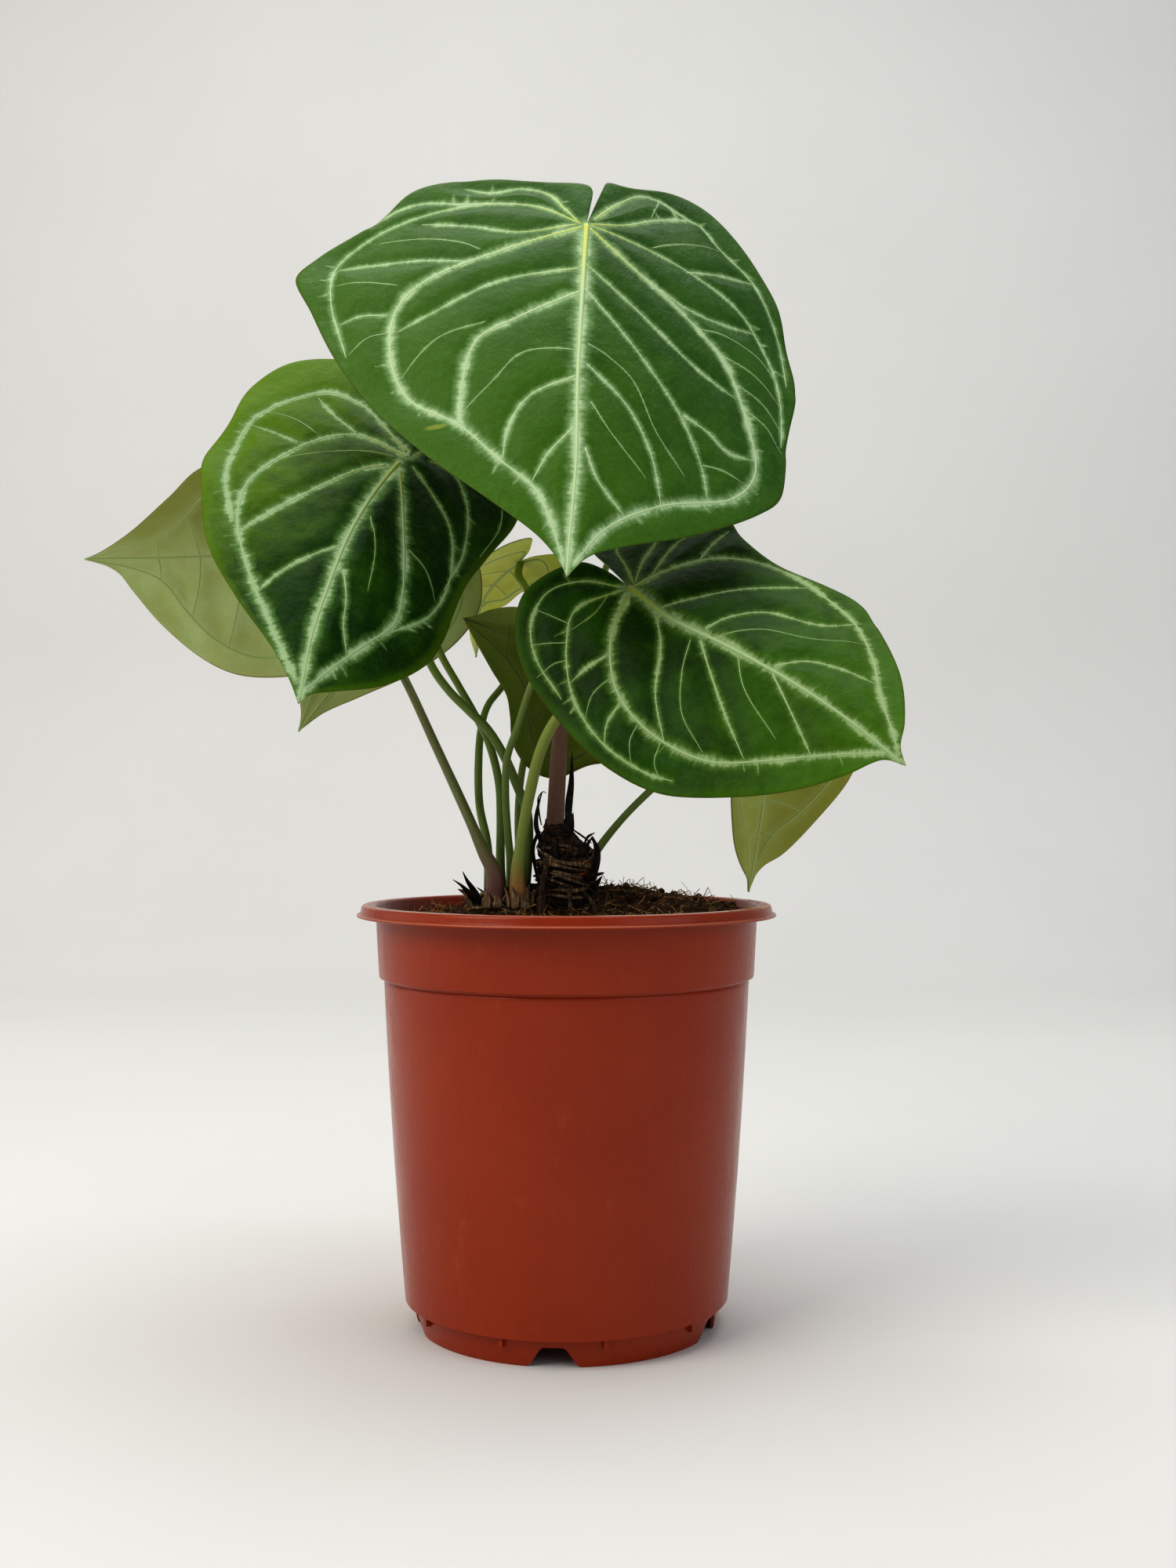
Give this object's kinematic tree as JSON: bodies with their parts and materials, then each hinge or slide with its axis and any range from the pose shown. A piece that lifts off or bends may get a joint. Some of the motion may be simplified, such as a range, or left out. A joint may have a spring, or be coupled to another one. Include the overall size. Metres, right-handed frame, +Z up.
{
  "type": "potted silver blush anthurium",
  "caption": "Potted aroid house plant with heart-shaped, silver-veined leaves on thin stalks, rising from a scaly stem in a round nursery pot of soil.",
  "frame": {"origin": "middle of the whole plant's outline seen from above, at the level the pot stands on; the pot's own axis stands at x 0.051, y -0.013", "axes": "+Z up; the front that the picture shows faces -Y, and +X is to the right of it"},
  "size_m": [0.405, 0.2712, 0.5538],
  "materials": {
    "pot_plastic": "satin moulded terracotta-red plastic",
    "potting_mix": "loose dark brown fibrous potting mix",
    "stem": "dry scaly dark stem",
    "stalk": "smooth satin olive green, some brownish",
    "leaf": "leathery semi-gloss dark green with silver veins above, paler matt green below",
    "dry_sheath": "dry papery dark brown",
    "aerial_root": "matt brown bark"
  },
  "bodies": {
    "root": {"pot": "pot_plastic", "soil": "potting_mix", "stem_knob": "stem", "side_shoot": "stem", "leaf_tall": "leaf", "leaf_left": "leaf", "leaf_right": "leaf", "leaf_far_left": "leaf", "leaf_under_left": "leaf", "leaf_back_centre": "leaf", "leaf_low_centre": "leaf", "leaf_low_right": "leaf", "leaf_back_right": "leaf", "stalk_tall": "stalk", "stalk_left": "stalk", "stalk_right": "stalk", "stalk_far_left": "stalk", "stalk_under_left": "stalk", "stalk_back_centre": "stalk", "stalk_low_centre": "stalk", "stalk_low_right": "stalk", "stalk_back_right": "stalk", "dry_sheath_1": "dry_sheath", "dry_sheath_2": "dry_sheath", "dry_sheath_3": "dry_sheath", "dry_sheath_4": "dry_sheath", "dry_sheath_5": "dry_sheath", "dry_sheath_6": "dry_sheath", "dry_sheath_7": "dry_sheath", "aerial_root_1": "aerial_root", "aerial_root_2": "aerial_root", "aerial_root_3": "aerial_root"}
  },
  "joints": []
}
